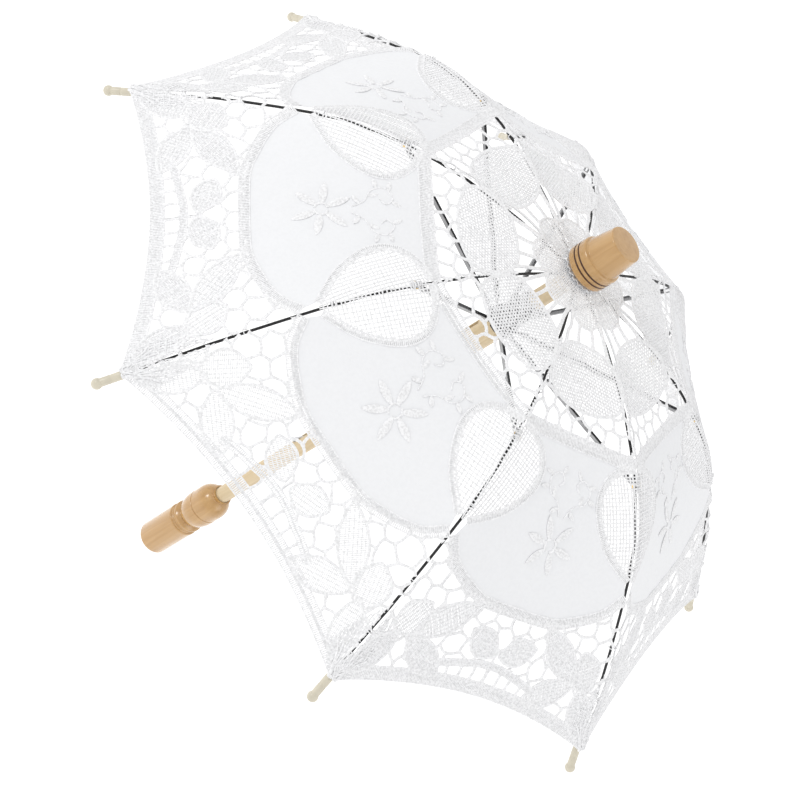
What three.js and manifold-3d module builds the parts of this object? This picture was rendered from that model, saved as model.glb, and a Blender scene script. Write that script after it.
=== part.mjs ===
// A folding lace parasol: a wood shaft with a turned handle and a turned cap, eight steel ribs with
// their stretchers, a runner that slides on the shaft, and a lace canopy of eight gores.
// Millimetres, +Z up along the shaft, origin at the centre of the handle's flat butt end.
// It stands open, with the runner pushed up past the top catch.
import * as THREE from "three";
import { mergeVertices } from "three/addons/utils/BufferGeometryUtils.js";
import Module from "manifold-3d";

const wasm = await Module();
wasm.setup();

// ---- Driving dimensions ----

const RIB_COUNT = 8;
const GORE_HALF_ANGLE = Math.PI / RIB_COUNT;
const GAP = 0.3; // between two pieces that touch in the real object

const HANDLE_HEIGHT = 80;
const HANDLE_SOCKET_DEPTH = 20;
const SHAFT_RADIUS = 5.5;
const TENON_RADIUS = 4; // the shaft's thinner top, which holds the notch, the rosette and the cap
const CAP_BASE = 410;
const CAP_HEIGHT = 30;
const CAP_SOCKET_DEPTH = 20;

const CROWN_HINGE = new THREE.Vector2(8, 404); // radius and height of the ribs' hinge wire
const RUNNER_HINGE = new THREE.Vector2(8.6, 345); // the same for the stretchers' wire, parasol open
const TIP_END = new THREE.Vector2(250, 275); // the outer end of a rib tip
const JOINT_RADIUS = 121; // where the stretcher is riveted to the rib

const WIRE_RADIUS = 0.8; // of a rib
const HINGE_WIRE_RADIUS = 0.45;
const RIVET_RADIUS = 0.6;
const EYE_WIDTH = 2 * WIRE_RADIUS; // an eye is as thick as the rib's wire
const SLOT_WIDTH = 2.6; // in the two notched rings, each slot holding one eye

const TIP_LENGTH = 17;
const CANOPY_LIFT = 2; // from a rib's centre line up to the canopy's underside
const CANOPY_THICKNESS = 1.2;
const CANOPY_INNER_RADIUS = 10.5;
const CANOPY_CORNER_RADIUS = 236; // where the canopy's corner is tied to the rib, at the tip's mouth
const HEM_MIDDLE_RADIUS = 229; // the same level of the rib as the hem's middle
const CANOPY_SAG = 3.5; // how far the canopy sinks between two ribs

const CURVE_SIDES = 32;
const SMALL_SIDES = 10;

// ---- Colours ----

const varnishedMaple = { color: 0xe1b482, roughness: 0.35 };
const paleWood = { color: 0xe1cd96, roughness: 0.6 };
const blackSteel = { color: 0x1a1a1c, roughness: 0.4, metalness: 0.8 };
const blackPlastic = { color: 0x202022, roughness: 0.5 };
const brassMetal = { color: 0xb08a4a, roughness: 0.35, metalness: 0.9 };
const brightSteel = { color: 0xb8babd, roughness: 0.3, metalness: 0.9 };
const creamPlastic = { color: 0xd7d0be, roughness: 0.45 };
const whiteLace = { color: 0xf4f4f2, roughness: 0.9 };

const parasol = new THREE.Group();

// Adds a named mesh to a group.
function add(group, name, geometry, look) {
  const mesh = new THREE.Mesh(geometry, new THREE.MeshStandardMaterial(look));
  mesh.name = name;
  group.add(mesh);
  return mesh;
}

// ---- Solids and their cuts ----

// A geometry with its shared corners merged, as a solid that can be cut.
function solidOf(geometry) {
  const bare = new THREE.BufferGeometry();
  bare.setAttribute("position", geometry.getAttribute("position"));
  bare.setIndex(geometry.getIndex());
  const merged = mergeVertices(bare, 1e-4);
  const vertProperties = merged.getAttribute("position").array;
  const triVerts = new Uint32Array(merged.getIndex().array);
  return new wasm.Manifold(new wasm.Mesh({ numProp: 3, vertProperties, triVerts }));
}

function geometryOf(solid) {
  const mesh = solid.getMesh();
  const geometry = new THREE.BufferGeometry();
  geometry.setAttribute("position", new THREE.BufferAttribute(mesh.vertProperties, 3));
  geometry.setIndex(new THREE.BufferAttribute(mesh.triVerts, 1));
  const flat = geometry.toNonIndexed();
  flat.computeVertexNormals();
  return flat;
}

// Joins some geometries into one solid and then cuts the others out of it.
function carve(joined, removed) {
  let solid = solidOf(joined[0]);
  for (const geometry of joined.slice(1)) {
    solid = solid.add(solidOf(geometry));
  }
  for (const geometry of removed) {
    solid = solid.subtract(solidOf(geometry));
  }
  return geometryOf(solid);
}

// A box between two corners.
function block(low, high) {
  const size = high.map((value, axis) => value - low[axis]);
  const middle = high.map((value, axis) => (value + low[axis]) / 2);
  return new THREE.BoxGeometry(...size).translate(...middle);
}

// A round bar along Y, centred on (x, 0, z).
function crossBar(x, z, radius, length, sides = SMALL_SIDES) {
  return new THREE.CylinderGeometry(radius, radius, length, sides).translate(x, 0, z);
}

// A turned shape round Z from a profile of [radius, height] points, listed upwards.
function turned(profile, sides = CURVE_SIDES) {
  const points = profile.map(([radius, height]) => new THREE.Vector2(radius, height));
  return new THREE.LatheGeometry(points, sides).rotateX(Math.PI / 2);
}

// A turned ring from a square profile: inner and outer radius, bottom and top.
function ring(inner, outer, bottom, top, sides = CURVE_SIDES) {
  const profile = [
    [inner, bottom],
    [outer, bottom],
    [outer, top],
    [inner, top],
    [inner, bottom],
  ];
  return turned(profile, sides);
}

// Points of a round stretch of a profile, from one angle to another, in degrees.
function arc(centreRadius, centreHeight, radius, from, to, steps) {
  return Array.from({ length: steps + 1 }, (_, step) => {
    const angle = THREE.MathUtils.degToRad(from + ((to - from) * step) / steps);
    return [
      centreRadius + radius * Math.cos(angle),
      centreHeight + radius * Math.sin(angle),
    ];
  });
}

// ---- The rib's line, which the canopy follows too ----

// Radius and height along the centre line, from the crown hinge to the tip. The end is straight.
const ribLine = new THREE.SplineCurve([
  CROWN_HINGE,
  new THREE.Vector2(50, 403),
  new THREE.Vector2(100, 394.5),
  new THREE.Vector2(150, 373),
  new THREE.Vector2(200, 330),
  new THREE.Vector2(225, 302.5),
  TIP_END,
]);

// Where the line reaches a radius, as the curve's own parameter.
function parameterAt(radius) {
  let low = 0;
  let high = 1;
  for (let halving = 0; halving < 40; halving += 1) {
    const middle = (low + high) / 2;
    if (ribLine.getPoint(middle).x < radius) {
      low = middle;
    } else {
      high = middle;
    }
  }
  return low;
}

// A stretch of the line as a path in the XZ plane, for a wire to follow.
class RibPath extends THREE.Curve {
  constructor(fromRadius, toRadius) {
    super();
    this.from = parameterAt(fromRadius);
    this.to = parameterAt(toRadius);
  }

  getPoint(t, target = new THREE.Vector3()) {
    const point = ribLine.getPoint(THREE.MathUtils.lerp(this.from, this.to, t));
    return target.set(point.x, 0, point.y);
  }
}

const tipDirection = ribLine.getTangent(1).normalize();
const tipMouth = TIP_END.clone().addScaledVector(tipDirection, -TIP_LENGTH);
const joint = ribLine.getPoint(parameterAt(JOINT_RADIUS));

// ---- Pieces on the shaft ----

function handle() {
  const grip = 11.8;
  const neck = 10.3;
  const barrel = 12.6;
  const rim = 7;
  const groove = 61;
  const shoulder = 68.5;
  const socket = SHAFT_RADIUS + GAP;
  return turned([
    [0, 0],
    ...arc(grip - 3, 3, 3, -90, 0, 3),
    [grip, 37],
    [neck, 38.4],
    [neck, 40.4],
    [grip - 0.8, 42.2],
    ...arc(barrel - 20, 54, 20, -28, 0, 3),
    [barrel, groove - 0.6],
    [barrel - 0.5, groove],
    [barrel, groove + 0.6],
    ...arc(barrel - 11.2, shoulder, 11.2, 0, 60, 5),
    [rim, HANDLE_HEIGHT],
    [socket, HANDLE_HEIGHT],
    [socket, HANDLE_HEIGHT - HANDLE_SOCKET_DEPTH],
    [0, HANDLE_HEIGHT - HANDLE_SOCKET_DEPTH],
  ]);
}

function cap() {
  const base = 14.4;
  const top = CAP_BASE + CAP_HEIGHT;
  const socket = TENON_RADIUS + GAP;
  const burntRing = (height) => [
    [base, height - 0.5],
    [base - 0.5, height],
    [base, height + 0.5],
  ];
  return turned([
    [0, CAP_BASE + CAP_SOCKET_DEPTH],
    [socket, CAP_BASE + CAP_SOCKET_DEPTH],
    [socket, CAP_BASE],
    ...arc(base - 2, CAP_BASE + 2, 2, -90, 0, 3),
    ...burntRing(CAP_BASE + 5),
    ...burntRing(CAP_BASE + 7.5),
    [base, CAP_BASE + 12],
    [12.6, CAP_BASE + 14],
    [11.3, top - 1],
    [10.5, top],
    [0, top],
  ]);
}

const CROWN_SHOULDER = 399.1; // where the shaft steps in to the tenon
const TOP_CATCH_SHOULDER = 314.4;
const BOTTOM_CATCH_SHOULDER = 161.6;
const STOP_PIN_HEIGHT = 372.2;
const STOP_PIN_RADIUS = 0.75;
const CATCH_WIDTH = 1.2;

// A spring catch is a flat triangle of steel in a slot of the shaft. The top one's square shoulder
// faces up, under the open runner, and the bottom one's faces down, inside the closed runner.
const topCatchOutline = [
  [1.2, TOP_CATCH_SHOULDER - 27],
  [3.8, TOP_CATCH_SHOULDER - 27],
  [8.2, TOP_CATCH_SHOULDER - 2],
  [8.2, TOP_CATCH_SHOULDER],
  [1.2, TOP_CATCH_SHOULDER],
];
const bottomCatchOutline = [
  [1.2, BOTTOM_CATCH_SHOULDER],
  [7.8, BOTTOM_CATCH_SHOULDER],
  [7.8, BOTTOM_CATCH_SHOULDER + 1.8],
  [4.5, BOTTOM_CATCH_SHOULDER + 9.9],
  [3.8, BOTTOM_CATCH_SHOULDER + 24],
  [1.2, BOTTOM_CATCH_SHOULDER + 24],
];

function catchPlate(outline) {
  const shape = new THREE.Shape(outline.map(([x, y]) => new THREE.Vector2(x, y)));
  const plate = new THREE.ExtrudeGeometry(shape, { depth: CATCH_WIDTH, bevelEnabled: false });
  return plate.rotateX(Math.PI / 2).translate(0, CATCH_WIDTH / 2, 0);
}

function catchSlot(outline) {
  const heights = outline.map(([, height]) => height);
  const side = CATCH_WIDTH / 2 + GAP;
  const low = [1.2 - GAP, -side, Math.min(...heights) - GAP];
  const high = [SHAFT_RADIUS + 1, side, Math.max(...heights) + GAP];
  return block(low, high);
}

function shaft() {
  const foot = HANDLE_HEIGHT - HANDLE_SOCKET_DEPTH + GAP;
  const head = CAP_BASE + CAP_SOCKET_DEPTH - GAP;
  const dowel = turned([
    [0, foot],
    [SHAFT_RADIUS, foot],
    [SHAFT_RADIUS, CROWN_SHOULDER],
    [TENON_RADIUS, CROWN_SHOULDER],
    [TENON_RADIUS, head],
    [0, head],
  ]);
  const pinHole = crossBar(0, STOP_PIN_HEIGHT, STOP_PIN_RADIUS + GAP, 20);
  const bottomSlot = catchSlot(bottomCatchOutline).rotateZ(Math.PI);
  return carve([dowel], [pinHole, catchSlot(topCatchOutline), bottomSlot]);
}

// ---- The two notched rings: each holds eight eyes on a ring of wire in a groove ----

function slots(innerRadius, outerRadius, bottom, top) {
  return Array.from({ length: RIB_COUNT }, (_, index) => {
    const low = [innerRadius, -SLOT_WIDTH / 2, bottom];
    const high = [outerRadius, SLOT_WIDTH / 2, top];
    return block(low, high).rotateZ(index * 2 * GORE_HALF_ANGLE);
  });
}

function groove(hinge, top) {
  const half = HINGE_WIRE_RADIUS + GAP;
  return ring(hinge.x - half, hinge.x + half, hinge.y - half, top);
}

function crownNotch() {
  const bottom = CROWN_SHOULDER + GAP;
  const top = 405;
  const outer = 10.2;
  const disc = ring(TENON_RADIUS + GAP, outer, bottom, top);
  return carve([disc], [groove(CROWN_HINGE, top + 1), ...slots(6.2, outer + 1, bottom - 1, top + 1)]);
}

function hingeWire(hinge) {
  const wire = new THREE.TorusGeometry(hinge.x, HINGE_WIRE_RADIUS, 5, 32);
  return wire.translate(0, 0, hinge.y);
}

const SLEEVE_BOTTOM = 315;
const NOTCH_BOTTOM = 342.5;

function runnerSleeve() {
  const bore = SHAFT_RADIUS + GAP;
  const outer = 8;
  const top = NOTCH_BOTTOM - GAP;
  const tube = turned([
    [bore, SLEEVE_BOTTOM],
    ...arc(outer - 0.8, SLEEVE_BOTTOM + 0.8, 0.8, -90, 0, 2),
    ...arc(outer - 0.8, top - 0.8, 0.8, 0, 90, 2),
    [bore, top],
    [bore, SLEEVE_BOTTOM],
  ]);
  // the closed parasol's bottom catch springs into this window
  const window = block([-outer - 1, -1.5, 322], [0, 1.5, 333]);
  return carve([tube], [window]);
}

function runnerNotch() {
  const bore = SHAFT_RADIUS + GAP;
  const flange = 10.2;
  const flangeTop = RUNNER_HINGE.y + 2.6;
  const tube = 7.5;
  const tubeTop = 371;
  const body = turned([
    [bore, NOTCH_BOTTOM],
    [flange, NOTCH_BOTTOM],
    [flange, flangeTop],
    [tube, flangeTop],
    [tube, tubeTop - 0.8],
    [tube - 0.8, tubeTop],
    [bore, tubeTop],
    [bore, NOTCH_BOTTOM],
  ]);
  const cuts = slots(6.9, flange + 1, NOTCH_BOTTOM - 1, flangeTop + 1);
  return carve([body], [groove(RUNNER_HINGE, flangeTop + 1), ...cuts]);
}

// ---- Pieces on each rib, drawn in the plane of the rib, with X outwards ----

const EYE_RADIUS = 1.4;
const BOSS_RADIUS = 1.4; // the rib's flattened spot round its rivet
const EYE_HOLE_RADIUS = HINGE_WIRE_RADIUS + GAP;
const RIVET_HOLE_RADIUS = RIVET_RADIUS + GAP;

function circle(radius, sides) {
  const points = Array.from({ length: sides }, (_, index) => {
    const angle = (index * 2 * Math.PI) / sides;
    return new THREE.Vector2(radius * Math.cos(angle), radius * Math.sin(angle));
  });
  return new THREE.Shape(points);
}

function rib() {
  const wireEnd = tipMouth.x + 10.7 * tipDirection.x;
  const wire = new THREE.ExtrudeGeometry(circle(WIRE_RADIUS, 8), {
    steps: 15,
    extrudePath: new RibPath(CROWN_HINGE.x + EYE_HOLE_RADIUS + 0.2, wireEnd),
  });
  const eye = crossBar(CROWN_HINGE.x, CROWN_HINGE.y, EYE_RADIUS, EYE_WIDTH);
  const boss = crossBar(joint.x, joint.y, BOSS_RADIUS, EYE_WIDTH);
  const eyeHole = crossBar(CROWN_HINGE.x, CROWN_HINGE.y, EYE_HOLE_RADIUS, 4);
  const rivetHole = crossBar(joint.x, joint.y, RIVET_HOLE_RADIUS, 4);
  return carve([wire, eye, boss], [eyeHole, rivetHole]);
}

// The tip is a tube on the rib's end that finishes in a ball. It is turned round Z, mouth down.
function tip() {
  const bore = WIRE_RADIUS + GAP;
  const tube = 2.3;
  const ball = 3;
  const neckAngle = THREE.MathUtils.radToDeg(Math.acos(tube / ball));
  return turned(
    [
      [0, 11],
      [bore, 11],
      [bore, 0],
      [tube, 0],
      ...arc(0, TIP_LENGTH - ball, ball, -neckAngle, 90, 5),
    ],
    SMALL_SIDES,
  );
}

const CHEEK_INNER = 1.05; // half the room between a stretcher's two cheeks
const CHEEK_OUTER = 1.35;
const CHANNEL_HALF_HEIGHT = 0.9;
const EAR_RADIUS = 1.5; // the cheeks' round ends, about the rivet

function rivet() {
  const head = 1;
  const inner = CHEEK_OUTER + GAP;
  const outer = inner + 0.5;
  const pin = turned(
    [
      [0, -outer],
      [head, -outer],
      [head, -inner],
      [RIVET_RADIUS, -inner],
      [RIVET_RADIUS, inner],
      [head, inner],
      [head, outer],
      [0, outer],
    ],
    SMALL_SIDES,
  );
  return pin.rotateX(Math.PI / 2);
}

// A stretcher is a steel channel, open underneath. It lies along X here, from its rivet at the origin.
// Its cheeks run on past the web to straddle the rib, and a narrow tongue ends in the runner's eye.
function stretcher(length) {
  const webCutBack = 6;
  const web = 0.35;
  const tongueHalfHeight = 0.8;
  const channelEnd = length - 6;
  const outside = block(
    [0, -CHEEK_OUTER, -CHANNEL_HALF_HEIGHT],
    [channelEnd, CHEEK_OUTER, CHANNEL_HALF_HEIGHT],
  );
  const inside = block(
    [-3, -CHEEK_INNER, -EAR_RADIUS - 1],
    [length, CHEEK_INNER, CHANNEL_HALF_HEIGHT - web],
  );
  const fork = block(
    [-3, -CHEEK_INNER, 0],
    [webCutBack, CHEEK_INNER, EAR_RADIUS + 1],
  );
  const ears = crossBar(0, 0, EAR_RADIUS, 2 * CHEEK_OUTER);
  const channel = carve([outside, ears], [inside, fork]);
  const tongue = block(
    [channelEnd - 5, -EYE_WIDTH / 2, -tongueHalfHeight],
    [length, EYE_WIDTH / 2, tongueHalfHeight],
  );
  const eye = crossBar(length, 0, EYE_RADIUS, EYE_WIDTH);
  const eyeHole = crossBar(length, 0, EYE_HOLE_RADIUS, 4);
  const rivetHole = crossBar(0, 0, RIVET_HOLE_RADIUS, 6);
  return carve([channel, tongue, eye], [eyeHole, rivetHole]);
}

// ---- The canopy ----

// A point of the canopy over one gore, with X along the gore's middle. The level is the radius of
// the rib at the same height, and across runs from -1 on one rib to 1 on the next. Between two ribs
// the cloth is stretched straight, and sinks a little.
function canopyPoint(level, across, lift) {
  const parameter = parameterAt(level);
  const point = ribLine.getPoint(parameter);
  const slope = ribLine.getTangent(parameter);
  const middle = Math.cos(GORE_HALF_ANGLE);
  const normal = new THREE.Vector2(-slope.y, slope.x * middle).normalize();
  const along = (level - CANOPY_INNER_RADIUS) / (CANOPY_CORNER_RADIUS - CANOPY_INNER_RADIUS);
  const sag = CANOPY_SAG * Math.sin(Math.PI * along) * (1 - across * across);
  const x = point.x * middle + (lift - sag) * normal.x;
  const z = point.y + (lift - sag) * normal.y;
  return new THREE.Vector3(x, across * x * Math.tan(GORE_HALF_ANGLE), z);
}

// Half a gore, on the left of its middle when side is 1 and on the right when it is -1: a thin
// block bent to the canopy's shape, with a seam's gap on its two long edges.
function halfGore(side) {
  const geometry = new THREE.BoxGeometry(1, 1, 1, 14, 2, 1);
  const position = geometry.getAttribute("position");
  for (let index = 0; index < position.count; index += 1) {
    const along = position.getX(index) + 0.5;
    const beside = position.getY(index) + 0.5;
    const across = side > 0 ? beside : beside - 1;
    const hem = THREE.MathUtils.lerp(HEM_MIDDLE_RADIUS, CANOPY_CORNER_RADIUS, across ** 2);
    const level = THREE.MathUtils.lerp(CANOPY_INNER_RADIUS, hem, along);
    const lift = CANOPY_LIFT + (position.getZ(index) + 0.5) * CANOPY_THICKNESS;
    const point = canopyPoint(level, across, lift);
    const inset = (GAP / 2) * (1 - 2 * beside);
    position.setXYZ(index, point.x, point.y + inset, point.z);
  }
  return geometry;
}

// ---- Assembly ----

add(parasol, "handle", handle(), varnishedMaple);
add(parasol, "shaft", shaft(), paleWood);
add(parasol, "cap", cap(), varnishedMaple);
add(parasol, "crown_notch", crownNotch(), blackPlastic);
add(parasol, "crown_wire", hingeWire(CROWN_HINGE), brightSteel);
add(parasol, "rosette", ring(TENON_RADIUS + GAP, 12, 407.5, CAP_BASE - GAP), whiteLace);
add(parasol, "top_catch", catchPlate(topCatchOutline), brightSteel);
add(parasol, "bottom_catch", catchPlate(bottomCatchOutline), brightSteel).rotation.z = Math.PI;
add(parasol, "stop_pin", crossBar(0, STOP_PIN_HEIGHT, STOP_PIN_RADIUS, 13.6), brightSteel);
add(parasol, "runner_sleeve", runnerSleeve(), paleWood);
add(parasol, "runner_notch", runnerNotch(), blackPlastic);
add(parasol, "runner_wire", hingeWire(RUNNER_HINGE), brightSteel);

const towardsRunner = RUNNER_HINGE.clone().sub(joint);
for (let index = 0; index < RIB_COUNT; index += 1) {
  const number = index + 1;
  const plane = new THREE.Group();
  plane.rotation.z = index * 2 * GORE_HALF_ANGLE;
  parasol.add(plane);
  add(plane, `rib_${number}`, rib(), blackSteel);
  add(plane, `rivet_${number}`, rivet(), brassMetal).position.set(joint.x, 0, joint.y);

  const end = add(plane, `tip_${number}`, tip(), creamPlastic);
  end.position.set(tipMouth.x, 0, tipMouth.y);
  end.rotation.y = Math.PI / 2 - tipDirection.angle();

  const strut = add(plane, `stretcher_${number}`, stretcher(towardsRunner.length()), blackSteel);
  strut.position.set(joint.x, 0, joint.y);
  strut.rotation.y = -towardsRunner.angle();

  const gore = new THREE.Group();
  gore.rotation.z = (2 * index + 1) * GORE_HALF_ANGLE;
  parasol.add(gore);
  add(gore, `gore_${number}_right`, halfGore(-1), whiteLace);
  add(gore, `gore_${number}_left`, halfGore(1), whiteLace);
}

export default parasol;
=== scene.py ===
"""The looks of a folding lace parasol: turned maple, a black steel frame and a tape lace canopy."""

import math

import bpy
import numpy as np
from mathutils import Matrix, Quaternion, Vector


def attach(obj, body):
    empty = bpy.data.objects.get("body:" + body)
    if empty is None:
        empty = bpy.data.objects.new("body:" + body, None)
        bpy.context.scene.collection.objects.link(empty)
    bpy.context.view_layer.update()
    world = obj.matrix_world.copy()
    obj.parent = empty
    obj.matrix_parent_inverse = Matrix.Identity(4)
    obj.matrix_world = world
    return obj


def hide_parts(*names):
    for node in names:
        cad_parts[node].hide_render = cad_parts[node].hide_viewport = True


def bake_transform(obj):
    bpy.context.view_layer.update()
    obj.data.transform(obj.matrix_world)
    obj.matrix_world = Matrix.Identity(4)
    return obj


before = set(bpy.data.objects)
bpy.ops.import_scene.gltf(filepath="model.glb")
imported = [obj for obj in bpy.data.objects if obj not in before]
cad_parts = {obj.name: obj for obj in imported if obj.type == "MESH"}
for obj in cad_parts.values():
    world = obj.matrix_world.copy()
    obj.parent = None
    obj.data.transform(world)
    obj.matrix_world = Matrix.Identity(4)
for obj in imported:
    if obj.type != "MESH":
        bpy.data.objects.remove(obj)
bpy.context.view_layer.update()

# ---- Driving dimensions, metres ----

MM = 0.001
SEGMENTS = 64
HANDLE_HEIGHT = 0.080
SHAFT_RADIUS = 0.0055
CAP_BASE = 0.410
CAP_HEIGHT = 0.030
TIP_LENGTH = 0.017
GORES = 8
HALF_GORE = math.pi / GORES

# ---- The ribs' line and the canopy's flat pattern, millimetres ----

RIB_POINTS = np.array(
    [(8, 404), (50, 403), (100, 394.5), (150, 373), (200, 330), (225, 302.5), (250, 275)], float
)
CANOPY_INNER_RADIUS = 10.5
SAG_END_RADIUS = 236
HEM_MIDDLE_RADIUS = 230.5
HEM_CORNER_RADIUS = 239.5
SAG = 3.5
CLOTH_LIFT = 1.9
TIP_LIFT = 1.3
TIP_LIFT_RADII = (231, 238)


def catmull_rom(points, steps):
    """Points along a uniform Catmull-Rom curve through the given ones."""
    last = len(points) - 1
    place = np.linspace(0, last, steps)
    start = np.minimum(place.astype(int), last - 1)
    t = (place - start)[:, None]
    before = points[np.maximum(start - 1, 0)]
    here = points[start]
    there = points[start + 1]
    after = points[np.minimum(start + 2, last)]
    slope_here = (there - before) / 2
    slope_there = (after - here) / 2
    cubic = 2 * here - 2 * there + slope_here + slope_there
    square = -3 * here + 3 * there - 2 * slope_here - slope_there
    return cubic * t**3 + square * t**2 + slope_here * t + here


RIB = catmull_rom(RIB_POINTS, 601)
MIDDLE = RIB * (math.cos(HALF_GORE), 1)
ALONG = np.r_[0, np.cumsum(np.linalg.norm(np.diff(MIDDLE, axis=0), axis=1))]


def level_at(along):
    """The rib radius whose chord crosses the gore's middle line at a distance along it."""
    return np.interp(along, ALONG, RIB[:, 0])


def along_at(level):
    """The distance along the gore's middle line that belongs to a rib radius."""
    return np.interp(level, RIB[:, 0], ALONG)


def rib_across(along):
    """How far the rib is from the gore's middle line on the flat pattern."""
    return level_at(along) * math.sin(HALF_GORE)


def bend(flat, waves):
    """Flat pattern points (across, along, height), in mm, laid over the ribs of gore 1, in metres."""
    across, along, height = flat.T
    slope = np.gradient(MIDDLE, axis=0)
    slope /= np.linalg.norm(slope, axis=1)[:, None]
    level = level_at(along)
    reach = np.clip((level - CANOPY_INNER_RADIUS) / (SAG_END_RADIUS - CANOPY_INNER_RADIUS), 0, 1)
    share = np.clip(across / rib_across(along), -1, 1)
    sag = (SAG + waves(share, along)) * np.sin(math.pi * reach) * (1 - share**2)
    over_tip = TIP_LIFT * np.interp(level, TIP_LIFT_RADII, (0, 1)) * share**8
    lift = CLOTH_LIFT + height - sag + over_tip
    radius = np.interp(along, ALONG, MIDDLE[:, 0]) - lift * np.interp(along, ALONG, slope[:, 1])
    rise = np.interp(along, ALONG, MIDDLE[:, 1]) + lift * np.interp(along, ALONG, slope[:, 0])
    return np.c_[radius, across, rise] * MM


def turned_about_shaft(points, azimuth):
    """Points turned about the shaft's axis."""
    cosine, sine = math.cos(azimuth), math.sin(azimuth)
    x, y, z = points.T
    return np.c_[cosine * x - sine * y, sine * x + cosine * y, z]


# ---- Materials ----


def material(name):
    """A new material with its nodes, its links and its shader."""
    made = bpy.data.materials.new(name)
    made.use_nodes = True
    nodes = made.node_tree.nodes
    return made, nodes, made.node_tree.links, nodes["Principled BSDF"]


def set_inputs(node, **values):
    """Sets a node's named sockets; underscores stand for spaces."""
    for name, value in values.items():
        node.inputs[name.replace("_", " ")].default_value = value


def stretched_noise(nodes, links, scale, stretch, detail=4.0, distortion=0.0):
    """A noise in the piece's own space, stretched by a factor on each axis."""
    place = nodes.new("ShaderNodeTexCoord")
    mapping = nodes.new("ShaderNodeMapping")
    mapping.inputs["Scale"].default_value = stretch
    noise = nodes.new("ShaderNodeTexNoise")
    set_inputs(noise, Scale=scale, Detail=detail, Distortion=distortion)
    links.new(place.outputs["Object"], mapping.inputs["Vector"])
    links.new(mapping.outputs["Vector"], noise.inputs["Vector"])
    return noise


def colour_ramp(nodes, links, source, stops):
    """A colour ramp through (place, colour) stops, fed by a noise."""
    ramp = nodes.new("ShaderNodeValToRGB")
    elements = ramp.color_ramp.elements
    while len(elements) < len(stops):
        elements.new(0.5)
    for element, (place, colour) in zip(elements, stops):
        element.position = place
        element.color = (*colour, 1)
    links.new(source, ramp.inputs["Fac"])
    return ramp


def bump(nodes, links, source, shader, strength, distance):
    """Raises a shader's surface by a noise."""
    node = nodes.new("ShaderNodeBump")
    set_inputs(node, Strength=strength, Distance=distance)
    links.new(source, node.inputs["Height"])
    links.new(node.outputs["Normal"], shader.inputs["Normal"])


def wood(name, dark, light, coat, roughness, streak):
    """Straight-grained wood whose grain runs along the shaft."""
    made, nodes, links, shader = material(name)
    grain = stretched_noise(nodes, links, streak, (1, 1, 0.055), detail=8, distortion=0.6)
    tint = colour_ramp(nodes, links, grain.outputs["Fac"], [(0.3, dark), (0.68, light)])
    pores = stretched_noise(nodes, links, streak * 7, (1, 1, 0.03), detail=3)
    links.new(tint.outputs["Color"], shader.inputs["Base Color"])
    bump(nodes, links, pores.outputs["Fac"], shader, 0.12, 0.0002)
    set_inputs(shader, Roughness=roughness, Coat_Weight=coat, Coat_Roughness=0.12)
    return made


def enamel(name, colour, roughness, metallic, variation, scale):
    """A smooth hard finish with faint cloudiness and a fine orange peel."""
    made, nodes, links, shader = material(name)
    cloud = stretched_noise(nodes, links, scale, (1, 1, 1), detail=6)
    dark = tuple(c * (1 - variation) for c in colour)
    light = tuple(min(1, c * (1 + variation)) for c in colour)
    tint = colour_ramp(nodes, links, cloud.outputs["Fac"], [(0.3, dark), (0.7, light)])
    peel = stretched_noise(nodes, links, scale * 12, (1, 1, 1), detail=2)
    links.new(tint.outputs["Color"], shader.inputs["Base Color"])
    bump(nodes, links, peel.outputs["Fac"], shader, 0.05, 0.0001)
    set_inputs(shader, Roughness=roughness, Metallic=metallic)
    return made


def cotton(name, shade, scale, grain):
    """White cotton: matt, uneven from thread to thread, with a fine fibre bump and a little sheen."""
    made, nodes, links, shader = material(name)
    uneven = stretched_noise(nodes, links, scale / 3, (1, 1, 1), detail=3)
    stops = [(0.36, tuple(c * (1 - grain) for c in shade)), (0.6, shade)]
    tint = colour_ramp(nodes, links, uneven.outputs["Fac"], stops)
    fibre = stretched_noise(nodes, links, scale, (1, 1, 1), detail=3)
    links.new(tint.outputs["Color"], shader.inputs["Base Color"])
    bump(nodes, links, fibre.outputs["Fac"], shader, 0.25, 0.0002)
    set_inputs(shader, Roughness=0.85, Sheen_Weight=0.15, Sheen_Roughness=0.4)
    set_inputs(shader, Specular_IOR_Level=0.25)
    return made


MAPLE = wood("maple", (0.44, 0.242, 0.075), (0.53, 0.315, 0.118), 0.9, 0.25, 260)
PALE_WOOD = wood("pale_wood", (0.56, 0.43, 0.25), (0.69, 0.56, 0.37), 0.1, 0.5, 260)
BURNT = enamel("burnt_ring", (0.075, 0.03, 0.015), 0.6, 0.0, 0.3, 300)
# The stretchers are black steel; their grey colour is a painted highlight, standing in for the light line
# along their glossy tops.
STRETCHER_STEEL_PAINTED_HIGHLIGHT = enamel("stretcher_steel_painted_highlight", (0.30, 0.30, 0.305), 0.26, 0.9, 0.2, 120)
BLACK_STEEL = enamel("black_steel", (0.012, 0.012, 0.013), 0.32, 0.35, 0.25, 120)
BLACK_PLASTIC = enamel("black_plastic", (0.014, 0.014, 0.015), 0.38, 0.0, 0.2, 150)
WIRE = enamel("wire_steel", (0.55, 0.55, 0.56), 0.3, 1.0, 0.1, 300)
BRASS = enamel("brass", (0.78, 0.56, 0.24), 0.28, 1.0, 0.12, 400)
CREAM = enamel("cream_plastic", (0.61, 0.565, 0.455), 0.3, 0.0, 0.06, 200)
THREAD = cotton("lace_thread", (0.89, 0.89, 0.90), 2600, 0.17)
FABRIC = cotton("cotton_cloth", (0.82, 0.825, 0.84), 1500, 0.02)


# ---- Turned pieces ----

SHARP_ANGLE = math.radians(35)


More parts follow.
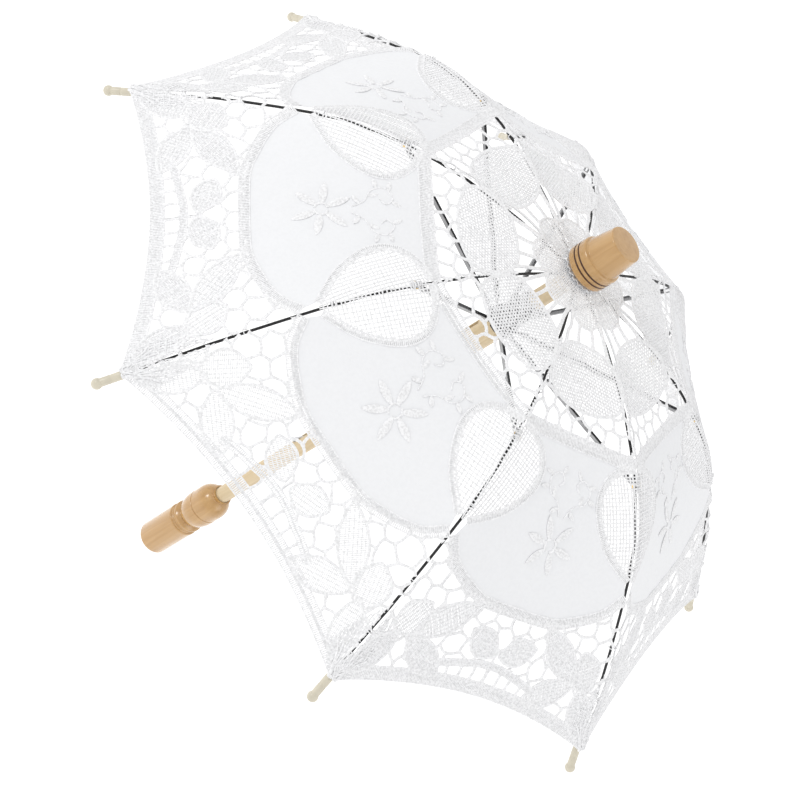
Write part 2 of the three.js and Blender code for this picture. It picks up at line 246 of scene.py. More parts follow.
def mesh_object(name, points, faces, materials):
    """A piece from points and faces, smooth but for edges sharper than an angle."""
    mesh = bpy.data.meshes.new(name)
    mesh.from_pydata([tuple(p) for p in points], [], faces)
    for finish in materials:
        mesh.materials.append(finish)
    piece = bpy.data.objects.new(name, mesh)
    bpy.context.scene.collection.objects.link(piece)
    mesh.shade_smooth()
    mesh.set_sharp_from_angle(angle=SHARP_ANGLE)
    return piece


def lathe(name, profile, finish, origin=(0, 0, 0), axis=(0, 0, 1), segments=SEGMENTS):
    """A profile of (radius, height) turned about an axis.

    Its two ends both lie on the axis, or else they join each other.
    """
    turn = Vector((0, 0, 1)).rotation_difference(Vector(axis))
    points = []
    faces = []
    closed = len(profile) if profile[0][0] > 0 else len(profile) - 1
    for radius, height in profile:
        for k in range(segments):
            angle = 2 * math.pi * k / segments
            spot = Vector((radius * math.cos(angle), radius * math.sin(angle), height))
            points.append(turn @ spot + Vector(origin))
    for j in range(closed):
        low = j * segments
        high = (j + 1) % len(profile) * segments
        for k in range(segments):
            n = (k + 1) % segments
            faces.append((low + k, low + n, high + n, high + k))
    piece = mesh_object(name, points, faces, [finish])
    weld(piece)
    return piece


def weld(piece):
    """Joins the points that a profile's ends share on the axis."""
    modifier = piece.modifiers.new("weld", "WELD")
    modifier.merge_threshold = 1e-6
    apply_modifiers(piece)


def apply_modifiers(piece):
    """Puts what the modifiers make in place of the mesh."""
    depsgraph = bpy.context.evaluated_depsgraph_get()
    finished = bpy.data.meshes.new_from_object(piece.evaluated_get(depsgraph))
    piece.modifiers.clear()
    piece.data = finished


def arc(radius_at, height_at, radius, start, end, steps):
    """Profile points on an arc; angles in degrees from straight out, turning up."""
    angles = [math.radians(start + (end - start) * i / steps) for i in range(steps + 1)]
    return [(radius_at + radius * math.cos(a), height_at + radius * math.sin(a)) for a in angles]


def burnt_groove(radius, height):
    """A shallow groove burnt into turned wood."""
    lip = 0.00055
    wall = 0.0003
    depth = 0.00042
    return [
        (radius, height - lip),
        (radius - wall, height - wall),
        (radius - depth, height),
        (radius - wall, height + wall),
        (radius, height + lip),
    ]


def paint_rings(piece, heights, half_width, finish):
    """Gives the faces around some heights their own finish."""
    piece.data.materials.append(finish)
    slot = len(piece.data.materials) - 1
    for face in piece.data.polygons:
        if any(abs(face.center.z - height) < half_width for height in heights):
            face.material_index = slot


def make_handle():
    """The handle: grip, cove, bead and shoulder, with a socket for the shaft."""
    grip = 0.0118
    neck = 0.0101
    barrel = 0.0126
    groove = 0.061
    socket = SHAFT_RADIUS + 0.0003
    socket_depth = 0.020
    profile = [
        (0, 0),
        *arc(grip - 0.003, 0.003, 0.003, -90, 0, 10),
        (grip, 0.0358),
        *arc(grip - 0.0012, 0.0362, 0.0012, 0, 75, 6),
        *arc(neck + 0.0014, 0.0394, 0.0014, 240, 120, 8),
        *arc(grip - 0.0014, 0.0420, 0.0012, -40, 45, 6),
        *arc(barrel - 0.022, 0.0565, 0.022, -33, 5, 14),
        *burnt_groove(barrel - 0.0001, groove),
        *arc(barrel - 0.0117, 0.0675, 0.0116, 0, 64, 14),
        (0.007, HANDLE_HEIGHT),
        (socket, HANDLE_HEIGHT),
        (socket, HANDLE_HEIGHT - socket_depth),
        (0, HANDLE_HEIGHT - socket_depth),
    ]
    piece = lathe("turned_handle", profile, MAPLE)
    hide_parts("handle")
    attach(piece, "stick")


def make_cap():
    """The cap over the crown, with two burnt rings and a socket for the shaft's end."""
    base = 0.0144
    waist = 0.0127
    top = 0.0111
    end = CAP_BASE + CAP_HEIGHT
    socket = 0.0043
    socket_end = CAP_BASE + 0.012
    ring_half_width = 0.00045
    rings = (CAP_BASE + 0.0048, CAP_BASE + 0.0078)
    profile = [
        (0, socket_end),
        (socket, socket_end),
        (socket, CAP_BASE),
        *arc(base - 0.0015, CAP_BASE + 0.0015, 0.0015, -90, 0, 8),
        *burnt_groove(base, rings[0]),
        *burnt_groove(base, rings[1]),
        (base, CAP_BASE + 0.0112),
        *arc(base - 0.0016, CAP_BASE + 0.0116, 0.0016, 0, 78, 8),
        *arc(waist + 0.0006, CAP_BASE + 0.0142, 0.0006, 250, 180, 4),
        *arc(top - 0.0007, end - 0.0007, 0.0007, 5, 90, 6),
        (0, end),
    ]
    piece = lathe("turned_cap", profile, MAPLE)
    paint_rings(piece, rings, ring_half_width, BURNT)
    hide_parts("cap")
    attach(piece, "stick")


def make_tips():
    """Cream tubes that end in a ball, one on each rib's end."""
    heading = RIB[-1] - RIB[-2]
    heading /= np.linalg.norm(heading)
    mouth = RIB[-1] * MM - heading * TIP_LENGTH
    tube = 0.0023
    bore = 0.00115
    ball = 0.003
    bore_end = TIP_LENGTH - 0.004
    neck = math.degrees(math.acos(tube / ball))
    profile = [
        (bore, 0.0),
        *arc(tube - 0.0004, 0.0004, 0.0004, -90, 0, 4),
        (tube, 0.006),
        (tube - 0.0002, 0.0064),
        (tube, 0.0068),
        *arc(0, TIP_LENGTH - ball, ball, -neck, 90, 14),
        (0, bore_end),
        (bore, bore_end),
    ]
    for i in range(GORES):
        azimuth = 2 * HALF_GORE * i
        out = (math.cos(azimuth), math.sin(azimuth))
        origin = (mouth[0] * out[0], mouth[0] * out[1], mouth[1])
        axis = (heading[0] * out[0], heading[0] * out[1], heading[1])
        piece = lathe(f"rib_end_{i + 1}", profile, CREAM, origin, axis, segments=32)
        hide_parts(f"tip_{i + 1}")
        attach(piece, f"rib_{i + 1}")


# ---- The lace's flat pattern ----

THREAD_SLOT = 0
FABRIC_SLOT = 1


class Pattern:
    """Threads, tapes and cloth on half a gore's flat pattern: (across, along, height) in mm."""

    def __init__(self, rng):
        self.rng = rng
        self.points = []
        self.quads = []
        self.finish = []
        self.count = 0

    def add(self, points, quads, finish=THREAD_SLOT):
        """Adds points and the quads between them, all with one finish."""
        self.points.append(points)
        self.quads.append(quads + self.count)
        self.finish.append(np.full(len(quads), finish))
        self.count += len(points)

    def strand(self, path, half_width, half_height, lift=0.0, sides=6):
        """A closed strip along a path, as wide and as high as given at each point."""
        path = np.asarray(path, float)
        heading = np.gradient(path, axis=0)
        heading /= np.linalg.norm(heading, axis=1)[:, None] + 1e-9
        side = np.c_[-heading[:, 1], heading[:, 0]]
        angles = 2 * math.pi * (np.arange(sides) + 0.5) / sides
        wide = np.broadcast_to(half_width, len(path))[:, None] * np.cos(angles)
        high = np.broadcast_to(half_height, len(path))[:, None] * np.sin(angles)
        height = np.broadcast_to(lift, len(path))[:, None] + high
        across = path[:, :1] + side[:, :1] * wide
        along = path[:, 1:] + side[:, 1:] * wide
        points = np.stack([across, along, height], -1).reshape(-1, 3)
        self.add(points, tube_quads(len(path), sides))

    def rungs(self, starts, ends, half_width, half_height, lift=0.0):
        """Short flat threads from each start to its end."""
        heading = ends - starts
        heading /= np.linalg.norm(heading, axis=1)[:, None] + 1e-9
        side = np.c_[-heading[:, 1], heading[:, 0]] * half_width
        corners = []
        for place in (starts, ends):
            for sideways, upwards in ((1, -1), (1, 1), (-1, 1), (-1, -1)):
                flat = place + side * sideways
                corners.append(np.c_[flat, np.full(len(flat), lift + half_height * upwards)])
        points = np.stack(corners, 1).reshape(-1, 3)
        first = np.arange(len(starts))[:, None, None] * 8
        self.add(points, (tube_quads(2, 4)[None] + first).reshape(-1, 4))


def tube_quads(rings, sides):
    """The quads of a closed tube of rings, with flat ends."""
    ring = np.arange(rings - 1)[:, None] * sides
    here = np.arange(sides)[None]
    there = (here + 1) % sides
    wall = np.stack([ring + here, ring + there, ring + sides + there, ring + sides + here], -1)
    step = np.arange(sides // 2 - 1)
    start = np.stack([sides - 1 - step, sides - 2 - step, step + 1, step], -1)
    end = start[:, ::-1] + (rings - 1) * sides
    return np.concatenate([wall.reshape(-1, 4), start, end])


def smooth(points, step):
    """An even path about one step apart, on a smooth curve through the points."""
    dense = catmull_rom(np.array(points, float), 40 * len(points))
    return even(dense, step)


def even(path, step):
    """The path again, with points about one step apart."""
    length = np.r_[0, np.cumsum(np.linalg.norm(np.diff(path, axis=0), axis=1))]
    places = np.linspace(0, length[-1], max(3, round(length[-1] / step) + 1))
    return np.c_[np.interp(places, length, path[:, 0]), np.interp(places, length, path[:, 1])]


def offset(path, distance):
    """The path moved sideways, to its left as it is walked with along upwards."""
    heading = np.gradient(path, axis=0)
    heading /= np.linalg.norm(heading, axis=1)[:, None] + 1e-9
    return path + np.c_[-heading[:, 1], heading[:, 0]] * distance


CORD = 0.45
TAPE_PITCH = 1.05


def tape(pattern, path, width, lift=0.25):
    """Woven lace tape: a cord along each edge, cross threads, and a denser band along its middle."""
    edge = width / 2 - CORD
    for side in (-1, 1):
        cord = offset(even(path, 1.6), edge * side)
        pattern.strand(cord, CORD, CORD, lift)
    crossing = even(path, TAPE_PITCH)
    starts, ends = offset(crossing, -edge), offset(crossing, edge)
    pattern.rungs(starts, ends, half_width=0.37, half_height=0.22, lift=lift + 0.08)
    band = even(path, 2.0)
    pattern.strand(band, half_width=width * 0.14, half_height=0.11, lift=lift - 0.05, sides=4)


def bar(pattern, points, radius=0.92, flare=0.6):
    """A corded bar of buttonhole stitch across an open space, wider where it joins, a little uneven."""
    wobble = 0.7
    points = np.array(points, float)
    points[1:-1] += pattern.rng.uniform(-wobble, wobble, points[1:-1].shape)
    path = smooth(points, 0.9)
    beads = 1 + 0.1 * (-1.0) ** np.arange(len(path))
    joined = 1 + flare * np.abs(np.linspace(-1, 1, len(path))) ** 5
    pattern.strand(path, radius * beads * joined, radius * 0.7 * beads, 0.3)


def inside(outline, spots):
    """Which of the spots lie inside a closed outline."""
    across, along = spots.T
    within = np.zeros(len(spots), bool)
    for start, end in zip(outline, np.roll(outline, -1, axis=0)):
        step_across, step_along = end - start
        between = (start[1] > along) != (end[1] > along)
        limit = start[0] + step_across * (along - start[1]) / (step_along + 1e-12)
        within ^= between & (across < limit)
    return within


GROUND_REACH = 90
CELL_WOBBLE = 0.22


def honeycomb(rng, low, high, side):
    """The edges of an irregular honeycomb, whose corners on the gore's middle line stay there."""
    corners = {}

    def corner(column, row, turn):
        angle = math.pi / 3 * turn
        across = math.sqrt(3) * side * (column + row % 2 / 2) + side * math.sin(angle)
        along = low + side * (1.5 * row + math.cos(angle))
        key = (round(across / side * 4), round(along / side * 4))
        if key not in corners:
            shift = rng.uniform(-CELL_WOBBLE, CELL_WOBBLE, 2) * side * (across > 0.1)
            corners[key] = np.array([across, along]) + shift
        return corners[key]

    for row in range(math.ceil((high - low) / side / 1.5) + 1):
        for column in range(-1, math.ceil(GROUND_REACH / side / math.sqrt(3)) + 1):
            for turn in range(3):
                yield corner(column, row, turn), corner(column, row, turn + 1)


def lace_ground(pattern, field, low, high, side, solids):
    """Bars in an irregular honeycomb where a field is open, their ends under what surrounds it."""
    last = 12
    fewest = 3
    for a, b in honeycomb(pattern.rng, low, high, side):
        spots = a + (b - a) * np.linspace(0, 1, last + 1)[:, None]
        clear = field(spots)
        for outline in solids:
            clear &= ~inside(outline, spots)
        kept = np.flatnonzero(clear)
        if min(a[0], b[0]) > -0.1 and len(kept) > fewest:
            first, final = max(kept[0] - 1, 0), min(kept[-1] + 1, last)
            bar(pattern, [spots[first], spots[(first + final) // 2], spots[final]])


def scan(outline, angle, pitch, rng):
    """Threads across an outline, a pitch apart, at an angle in degrees from the across direction."""
    turn = math.radians(angle)
    direction = np.array([math.cos(turn), math.sin(turn)])
    normal = np.array([-direction[1], direction[0]])
    depth = outline @ normal
    start, end = outline, np.roll(outline, -1, axis=0)
    depth_end = np.roll(depth, -1)
    for level in np.arange(depth.min() + pitch * 0.6, depth.max(), pitch):
        level += rng.uniform(-0.12, 0.12) * pitch
        crossing = (depth > level) != (depth_end > level)
        share = (level - depth[crossing]) / (depth_end[crossing] - depth[crossing])
        spots = start[crossing] + (end[crossing] - start[crossing]) * share[:, None]
        spots = spots[np.argsort(spots @ direction)]
        for a, b in zip(spots[0::2], spots[1::2]):
            if np.linalg.norm(b - a) > 1:
                yield even(np.array([a, b]), 3.5)


def fill(pattern, outline, angles, pitch, radius, lift=0.2):
    """Fills an outline with threads at each of the angles."""
    layer = 0.12
    for n, angle in enumerate(angles):
        for thread in scan(outline, angle, pitch, pattern.rng):
            pattern.strand(thread, radius, radius * 0.8, lift + layer * n, sides=4)


def leaf_outline(base, tip, half_width):
    """A pointed leaf from base to tip, fullest halfway."""
    base, tip = np.array(base, float), np.array(tip, float)
    length = np.linalg.norm(tip - base)
    heading = (tip - base) / length
    side = np.array([-heading[1], heading[0]])
    share = np.linspace(0, 1, 15)
    bulge = np.sin(math.pi * share) ** 0.8 * half_width
    spine = base + heading * (share * length)[:, None]
    return np.concatenate([spine + side * bulge[:, None], (spine - side * bulge[:, None])[-2:0:-1]])


def threaded_leaf(pattern, base, tip, half_width, angle):
    """A lace leaf: close parallel threads inside a corded edge; returns its outline."""
    wobble = pattern.rng.uniform(-1.0, 1.0, (2, 2))
    outline = leaf_outline(np.array(base) + wobble[0], np.array(tip) + wobble[1], half_width)
    outline[:, 0] = np.maximum(outline[:, 0], 0)
    fill(pattern, outline, [angle], 0.92, 0.4)
    fill(pattern, outline, [angle + 90], 2.2, 0.36, lift=0.35)
    point = len(outline) // 2
    for edge in (outline[: point + 1], np.concatenate([outline[point:], outline[:1]])):
        pattern.strand(even(edge, 1.2), 0.9, 0.6, 0.3)
    return outline


# ---- The parts of half a gore, from the crown out to the hem ----

BAND = 96.5
OVER_RIB = 0.9
NET_PITCH = 1.75
NET_RADIUS = 0.38
PANEL_BOTTOM = 194


def crown_flower(pattern):
    """A net disc, a ring of dense net petals tied to it by bars, and open cells outside them."""
    heart_rim = [(0, 29), (5, 28), (9, 25), (11.6, 20)]
    start = along_at(CANOPY_INNER_RADIUS)
    heart = np.concatenate([[(0, start), (rib_across(start), start)], smooth(heart_rim, 1.5)[::-1]])
    fill(pattern, heart, [0, 90], 1.45, NET_RADIUS)
    pattern.strand(smooth(heart_rim, 1.4), 0.8, 0.6, 0.3)
    petal_rim = [(0, 40), (10, 41), (18, 45), (24.5, 54), (27.6, 64), (25, 72.5), (13, 77.5), (0, 79)]
    petal = smooth(petal_rim, 1.5)
    fill(pattern, petal, [8, 68, 128], NET_PITCH, NET_RADIUS)
    pattern.strand(petal, 1.0, 0.6, 0.3)
    wedge_rim = smooth([(rib_across(42.0), 42), (21.5, 50), (28, 61.5), (rib_across(77.0), 77)], 1.5)
    wedge = np.concatenate([wedge_rim, [(rib_across(s) + OVER_RIB, s) for s in (75.0, 65.0, 55.0, 45.0)]])
    fill(pattern, wedge, [0, 60, 120], NET_PITCH, NET_RADIUS)
    bar(pattern, [(4.4, 28), (5, 34), (5.8, 41)], 1.15)
    bar(pattern, [(10.6, 22), (12.8, 31), (14.8, 37), (17, 44.5)], 1.15)
    solids = [np.concatenate([petal, [(0, 60)]]), wedge]
    lace_ground(pattern, crown_field, 69, 94, 6.6, solids)


def crown_field(spots):
    """Where the ring of cells inside the crown's tape is."""
    across, along = spots.T
    return (along > 66) & (along < BAND - 3.5) & (across < rib_across(along) + 0.5)


def band_and_medallion(pattern):
    """The tape round the crown, and the net medallion's half beside the rib."""
    reach = rib_across(BAND)
    tape(pattern, np.array([(0, BAND), (reach * 0.5, BAND), (reach, BAND + 0.5)]), 8.5)
    upper = [(42, 99), (33.5, 102), (26, 109), (23, 118)]
    lower = [(25, 128.5), (32.5, 139), (43, 148), (61, 157)]
    rim = smooth(upper + lower, 1.5)
    rib = np.array([(rib_across(s) + OVER_RIB, s) for s in (157.0, 143.0, 129.0, 115.0, 101.0)])
    outline = np.concatenate([rim, rib])
    fill(pattern, outline, [66, -18], 2.25, 0.46)
    tape(pattern, rim, 4.6)


def panel_edge(along):
    """Half the cotton panel's width at a distance along the pattern."""
    sides = [(98, 30), (103, 32), (110, 25), (118, 23), (128, 25), (139, 33), (148, 43), (157, 60)]
    bottom = [(165, 64), (171, 62), (177, 57), (183, 49), (188, 39), (191, 30), (193, 16), (194, 1)]
    places, widths = zip(*(sides + bottom))
    return np.interp(along, places, widths)


def cotton_panel(pattern):
    """Half of the fine cotton panel; the halves meet along the gore's middle line."""
    thickness = 0.22
    rows = np.r_[np.arange(98, 188, 1.5), np.arange(188, 194.1, 0.6)]
    columns = np.linspace(0, 1, 36)
    across = panel_edge(rows)[:, None] * columns
    along = rows[:, None] + 0 * columns
    ripple = 0.16 * np.sin(across * 0.33 + along * 0.11) * np.sin(along * 0.19)
    top = np.stack([across, along, 0.12 + ripple], -1).reshape(-1, 3)
    bottom = top - (0, 0, thickness)
    count, wide = len(top), len(columns)
    cell = (np.arange(len(rows) - 1)[:, None] * wide + np.arange(wide - 1)).reshape(-1)
    upper = np.stack([cell, cell + 1, cell + wide + 1, cell + wide], -1)
    lower = upper[:, ::-1] + count
    first_row = np.arange(wide)
    outer_side = np.arange(2, len(rows) + 1) * wide - 1
    last_row = (len(rows) - 1) * wide + first_row[-2::-1]
    middle_side = np.arange(len(rows) - 2, -1, -1) * wide
    ring = np.r_[first_row, outer_side, last_row, middle_side]
    wall = np.stack([ring[1:], ring[:-1], ring[:-1] + count, ring[1:] + count], -1)
    pattern.add(np.concatenate([top, bottom]), np.concatenate([upper, lower, wall]), FABRIC_SLOT)


def satin_petal(pattern, base, tip, half_width):
    """A raised embroidered petal of cross stitches."""
    spine = even(np.array([base, tip], float), 0.55)
    share = np.linspace(0, 1, len(spine))
    bulge = np.sin(math.pi * share) ** 0.7
    stitch = 1 + 0.22 * (-1.0) ** np.arange(len(spine))
    pattern.strand(spine, half_width * bulge + 0.1, (0.5 * bulge + 0.05) * stitch, 0.4, sides=8)


def polar(centre, angle, length):
    """A spot at an angle in degrees from straight down the gore, and a distance."""
    turn = math.radians(angle)
    return (centre[0] + length * math.sin(turn), centre[1] + length * math.cos(turn))


def embroidery(pattern, side):
    """Half of a six-petalled flower, with a vine and leaves above it."""
    centre = (0.6, 154)
    angles = (22, 80, 142) if side > 0 else (38, 98, 155)
    for angle in angles:
        base = polar(centre, angle, 2.6)
        tip = polar(centre, angle, 17)
        satin_petal(pattern, base, tip, 2.3)
    pattern.strand(smooth([(0.9, 150.5), (3.4, 152), (3.2, 156), (0.9, 157.5)], 0.8), 0.6, 0.6, 0.4)
    vine = smooth([(2, 138), (6, 131), (13, 127), (15, 120), (9, 115), (5, 119), (8, 122.5)], 1.2)
    pattern.strand(vine, 0.38, 0.45, 0.35)
    for place, angle in ((0.12, 55), (0.3, 165), (0.45, 75), (0.62, 100), (0.8, 210)):
        base = vine[int(place * len(vine))]
        satin_petal(pattern, base, polar(base, angle, 6.2), 1.35)


def outer_band(pattern):
    """Threaded leaves and open cells between the panel and the hem."""
    lower = [(0, PANEL_BOTTOM), (20, 193.7), (30, 192), (40, 188), (50, 183), (58, 177), (65, 166)]
    tape(pattern, smooth(lower, 1.5), 6.8)
    arch = [(0, 225.5), (9, 226), (18, 228), (31, 231), (38, 234)]
    tape(pattern, smooth(arch, 1.5), 5.0)
    leaves = [
        threaded_leaf(pattern, (26, 196), (60, 221), 8.2, 128),
        threaded_leaf(pattern, (31, 240), (61, 223), 8.4, 62),
        threaded_leaf(pattern, (58, 202), (72, 224), 9.8, -32),
        threaded_leaf(pattern, (68, 222), (84, 251), 7.4, 65),
        threaded_leaf(pattern, (1.5, 219), (23, 209.5), 8.2, 70),
    ]
    arch_across, arch_along = np.array([*arch, (38.1, 400)]).T

    def field(spots):
        across, along = spots.T
        beyond_panel = (along > PANEL_BOTTOM + 3) | (along > 150) & (across > panel_edge(along) + 3)
        within_arch = along < np.interp(across, arch_across, arch_along) - 2
        edge = hem_edge()
        within_hem = along < np.interp(across, edge[:, 0], edge[:, 1]) - 7.5
        return beyond_panel & within_arch & within_hem & (across < rib_across(along) - 0.4)

    lace_ground(pattern, field, 166, 252, 7.2, leaves)
    for across in (0.6, 9.5, 18, 27):
        begin = np.interp(across, arch_across, arch_along) + 2.2
        bar(pattern, [(across, begin), (across - 0.3, begin + 4), (across, begin + 8.5)])


def hem_edge(steps=60):
    """The hem's outer edge from the gore's middle to its corner at the rib."""
    share = np.linspace(0, 1, steps)
    level = HEM_MIDDLE_RADIUS + (HEM_CORNER_RADIUS - HEM_MIDDLE_RADIUS) * share**2
    along = along_at(level)
    return np.c_[share * level * math.sin(HALF_GORE), along]


def hem_and_corner(pattern):
    """The scalloped hem tape, and the threads gathered along the rib to its end."""
    tape(pattern, offset(hem_edge(), -4.4), 8.6)
    foot = along_at(HEM_CORNER_RADIUS)
    inner = [(208, 0.6), (218, 4), (227, 8), (236, 11), (246, 12), (252, 9), (foot, 1.5)]
    outer = [(foot, -OVER_RIB / 2), (240, -OVER_RIB), (232, 0.4), (220, 0.6)]
    gathered = np.array([(rib_across(along) - inset, along) for along, inset in inner + outer])
    fill(pattern, gathered, [66, 84], 1.5, 0.42, lift=0.4)
    fill(pattern, gathered, [2], 3.0, 0.4, lift=0.75)
    knot = gathered[len(inner) - 1]
    for n in range(4):
        begin = knot - (5 + 2.4 * n, 22 - 2.5 * n)
        pattern.strand(smooth([begin, knot - (2.5 + 1.4 * n, 10), knot], 1.6), 0.55, 0.55, 0.8)


def half_gore_pattern(side, seed):
    """Everything on half a gore, on the side of the middle line given by +1 or -1."""
    pattern = Pattern(np.random.default_rng(seed))
    crown_flower(pattern)
    band_and_medallion(pattern)
    cotton_panel(pattern)
    embroidery(pattern, side)
    outer_band(pattern)
    hem_and_corner(pattern)
    return pattern


def gore_waves(seed):
    """Slow ripples of the cloth between two ribs, one function for both halves, so that they meet."""
    rng = np.random.default_rng(seed)
    lengths = rng.uniform(38, 80, 3)
    phases = rng.uniform(0, 2 * math.pi, (3, 2))[:, 0]
    sizes = rng.uniform(0.25, 0.6, 3)

    def waves(share, along):
        total = 0 * share
        for length, phase, size in zip(lengths, phases, sizes):
            total = total + size * np.sin(along / length * math.pi + phase + share * 1.3)
        return total

    return waves


LACE_SHARP_ANGLE = math.radians(50)


def quad_object(name, points, quads, finish, materials):
    """A large piece from arrays of points and quads."""
    mesh = bpy.data.meshes.new(name)
    mesh.vertices.add(len(points))
    mesh.vertices.foreach_set("co", points.astype(np.float32).ravel())
    mesh.loops.add(quads.size)
    mesh.loops.foreach_set("vertex_index", quads.astype(np.int32).ravel())
    mesh.polygons.add(len(quads))
    mesh.polygons.foreach_set("loop_start", np.arange(0, quads.size, 4, dtype=np.int32))
    mesh.polygons.foreach_set("material_index", finish.astype(np.int32))
    for each in materials:
        mesh.materials.append(each)
    mesh.update(calc_edges=True)
    mesh.validate()
    mesh.shade_smooth()
    mesh.set_sharp_from_angle(angle=LACE_SHARP_ANGLE)
    piece = bpy.data.objects.new(name, mesh)
    bpy.context.scene.collection.objects.link(piece)
    return piece


def half_gore_area():
    """The flat area of half a gore, square metres."""
    edge = hem_edge()
    places = np.linspace(along_at(CANOPY_INNER_RADIUS), edge[0, 1], 200)
    body = np.sum((rib_across(places[1:]) + rib_across(places[:-1])) / 2 * np.diff(places))
    corner = np.sum((rib_across(edge[1:, 1]) - edge[1:, 0]) * np.diff(edge[:, 1]))
    return (body + corner) * MM**2


def make_half_gore(gore, side):
    """Half of one lace gore, bent over its rib, following the rib and the fold beside it."""
    seed = 100 + gore * 2 + (side > 0)
    pattern = half_gore_pattern(side, seed)
    points = np.concatenate(pattern.points)
    quads = np.concatenate(pattern.quads)
    points[:, 0] = np.maximum(points[:, 0], 0) * side
    if side > 0:
        quads = quads[:, ::-1]
    bent = bend(points, gore_waves(gore))
    middle = 2 * HALF_GORE * (gore - 1) + HALF_GORE
    placed = turned_about_shaft(bent, middle)
    word = "left" if side > 0 else "right"
    name = f"lace_{gore}_{word}"
    piece = quad_object(name, placed, quads, np.concatenate(pattern.finish), [THREAD, FABRIC])
    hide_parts(f"gore_{gore}_{word}")
    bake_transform(piece)
    width = float(hem_edge()[-1, 0]) * MM
    length = float(hem_edge()[-1, 1]) * MM
    half_gore_area()


# ---- The crown's rosette and the sewing ----


def make_rosette():
    """A gathered washer of cotton between the canopy and the cap."""
    rings = 9
    turns = 120
    inner, outer = 0.0044, 0.0132
    level, droop = 0.4086, 0.0003
    ruffle, crinkle, half_thickness = 0.0006, 0.0002, 0.0002
    points = []
    faces = []
    for face_side in (1, -1):
        for j in range(rings):
            share = j / (rings - 1)
            radius = inner + (outer - inner) * share
            for k in range(turns):
                angle = 2 * math.pi * k / turns
                wave = ruffle * share * math.sin(angle * 20) + crinkle * share * math.sin(angle * 47)
                height = level - droop * share + wave + half_thickness * face_side
                points.append((radius * math.cos(angle), radius * math.sin(angle), height))
    per_side = rings * turns
    for j in range(rings - 1):
        for k in range(turns):
            n = (k + 1) % turns
            a, b = j * turns + k, j * turns + n
            c, d = b + turns, a + turns
            faces.append((a, d, c, b))
            faces.append((a + per_side, b + per_side, c + per_side, d + per_side))
    for ring in (0, (rings - 1) * turns):
        for k in range(turns):
            n = (k + 1) % turns
            faces.append((ring + k, ring + n, ring + n + per_side, ring + k + per_side))
    piece = mesh_object("gathered_rosette", points, faces, [FABRIC])
    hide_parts("rosette")
    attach(piece, "stick")


def loop_mesh(points, faces, centre, long_way, short_way, thread):
    """Adds one small ring of thread about a centre, stretched along two directions."""
    around, sides = 16, 6
    first = len(points)
    for k in range(around):
        angle = 2 * math.pi * k / around
        out = long_way * math.cos(angle) + short_way * math.sin(angle)
        normal = long_way.cross(short_way).normalized()
        away = out.normalized()
        for m in range(sides):
            turn = 2 * math.pi * m / sides
            spot = centre + out + away * thread * math.cos(turn) + normal * thread * math.sin(turn)
            points.append(spot)
    for k in range(around):
        for m in range(sides):
            a = first + k * sides + m
            b = first + k * sides + (m + 1) % sides
            c = first + (k + 1) % around * sides + (m + 1) % sides
            d = first + (k + 1) % around * sides + m
            faces.append((a, b, c, d))


def make_stitches():
    """Loops of sewing thread that tie the cloth to each rib."""
    single_loops = [60, 92, 160, 161, 196, 218, 219]
    joint_whipping = [118.5 + 0.8 * n for n in range(7)]
    tip_whipping = [234.2 + 0.45 * n for n in range(9)]
    radii = single_loops + joint_whipping + tip_whipping
    outward, loop_height, loop_width, thread = 0.0007, 0.0024, 0.0016, 0.00028
    for i in range(GORES):
        azimuth = 2 * HALF_GORE * i
        out = Vector((math.cos(azimuth), math.sin(azimuth), 0))
        tangent = Vector((-math.sin(azimuth), math.cos(azimuth), 0))
        points = []
        faces = []
        for radius in radii:
            k = int(np.searchsorted(RIB[:, 0], radius))
            slope = RIB[k] - RIB[k - 1]
            slope /= np.linalg.norm(slope)
            normal = out * -slope[1] + Vector((0, 0, slope[0]))
            centre = out * RIB[k, 0] * MM + Vector((0, 0, RIB[k, 1] * MM)) + normal * outward
            loop_mesh(points, faces, centre, normal * loop_height, tangent * loop_width, thread)
        piece = mesh_object(f"stitches_{i + 1}", points, faces, [THREAD])
        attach(piece, f"rib_{i + 1}")


# ---- The CAD pieces that stay ----

FINISHES = {
    "shaft": PALE_WOOD,
    "runner_sleeve": PALE_WOOD,
    "runner_notch": BLACK_PLASTIC,
    "crown_notch": BLACK_PLASTIC,
    "rib": BLACK_STEEL,
    "stretcher": STRETCHER_STEEL_PAINTED_HIGHLIGHT,
    "rivet": BRASS,
    "crown_wire": WIRE,
    "runner_wire": WIRE,
    "top_catch": WIRE,
    "bottom_catch": WIRE,
    "stop_pin": WIRE,
}


def finish_frame():
    """Gives the CAD pieces that stay their real materials."""
    for name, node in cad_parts.items():
        family = name.rstrip("0123456789").rstrip("_")
        if family in FINISHES:
            node.data.materials.clear()
            node.data.materials.append(FINISHES[family])


# ---- Stage, light and camera ----

FLOOR_HEIGHT = -0.35
FLOOR_HALF_SIZE = 60
WORLD_STRENGTH = 0.885
LIGHT_AIM = (0, 0, 0.25)
CAMERA_PLACE = Vector((-0.3751, -0.7595, 0.9114))
CAMERA_AIM = Vector((0.0071, -0.0036, 0.2506))
CAMERA_ROLL = -58.5
LENS = 79.2
SENSOR_WIDTH = 36


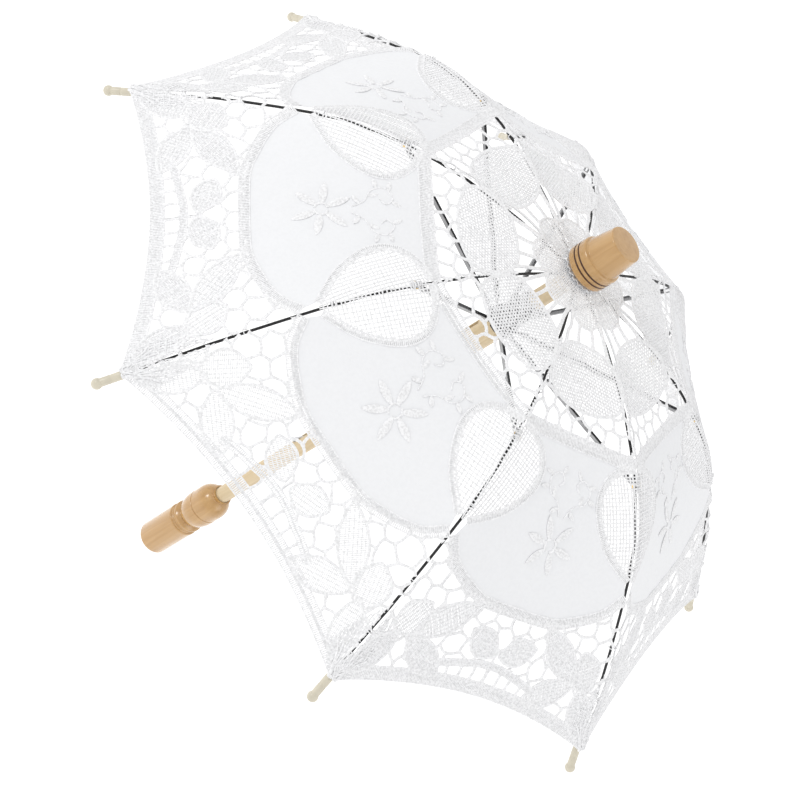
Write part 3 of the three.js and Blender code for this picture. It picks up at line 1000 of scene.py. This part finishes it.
def make_stage():
    """A wide white floor well below the parasol."""
    size = FLOOR_HALF_SIZE
    corners = [(-size, -size), (size, -size), (size, size), (-size, size)]
    made, nodes, links, shader = material("pale_floor")
    speckle = stretched_noise(nodes, links, 3, (1, 1, 1))
    tint = colour_ramp(nodes, links, speckle.outputs["Fac"], [(0, (0.96, 0.96, 0.96)), (1, (1, 1, 1))])
    links.new(tint.outputs["Color"], shader.inputs["Base Color"])
    set_inputs(shader, Roughness=1.0, Specular_IOR_Level=0.0)
    set_inputs(shader, Emission_Color=(1, 1, 1, 1), Emission_Strength=0.3)
    floor = mesh_object("floor", [(x, y, FLOOR_HEIGHT) for x, y in corners], [(0, 1, 2, 3)], [made])


def soft_light(name, place, aim, size, power):
    """A square lamp at a place, turned to what it aims at."""
    lamp = bpy.data.lights.new(name, "AREA")
    lamp.size = size
    lamp.energy = power
    holder = bpy.data.objects.new(name, lamp)
    holder.location = place
    holder.rotation_euler = (Vector(aim) - Vector(place)).to_track_quat("-Z", "Y").to_euler()
    bpy.context.scene.collection.objects.link(holder)


def make_lights():
    """A white world, a key light from the left and a weaker fill from the right."""
    world = bpy.data.worlds.new("studio")
    world.use_nodes = True
    background = world.node_tree.nodes["Background"]
    background.inputs["Color"].default_value = (1, 1, 1, 1)
    background.inputs["Strength"].default_value = WORLD_STRENGTH
    bpy.context.scene.world = world
    soft_light("key", (-1.7, -0.2, 1.2), LIGHT_AIM, size=0.5, power=7.5)
    soft_light("fill", (1.4, -0.9, 1.3), LIGHT_AIM, size=1.2, power=5)


def make_camera():
    """The camera of the photo, rolled about its line of sight."""
    lens = bpy.data.cameras.new("camera")
    lens.lens = LENS
    lens.sensor_width = SENSOR_WIDTH
    holder = bpy.data.objects.new("camera", lens)
    view = (CAMERA_AIM - CAMERA_PLACE).normalized()
    level = view.to_track_quat("-Z", "Y")
    holder.location = CAMERA_PLACE
    holder.rotation_euler = (Quaternion(view, math.radians(CAMERA_ROLL)) @ level).to_euler()
    bpy.context.scene.collection.objects.link(holder)
    bpy.context.scene.camera = holder
    bpy.context.scene.view_settings.view_transform = "Standard"


make_camera()
make_lights()
make_stage()
finish_frame()
make_handle()
make_cap()
make_tips()
make_rosette()
make_stitches()
for gore in range(1, GORES + 1):
    make_half_gore(gore, -1)
    make_half_gore(gore, 1)
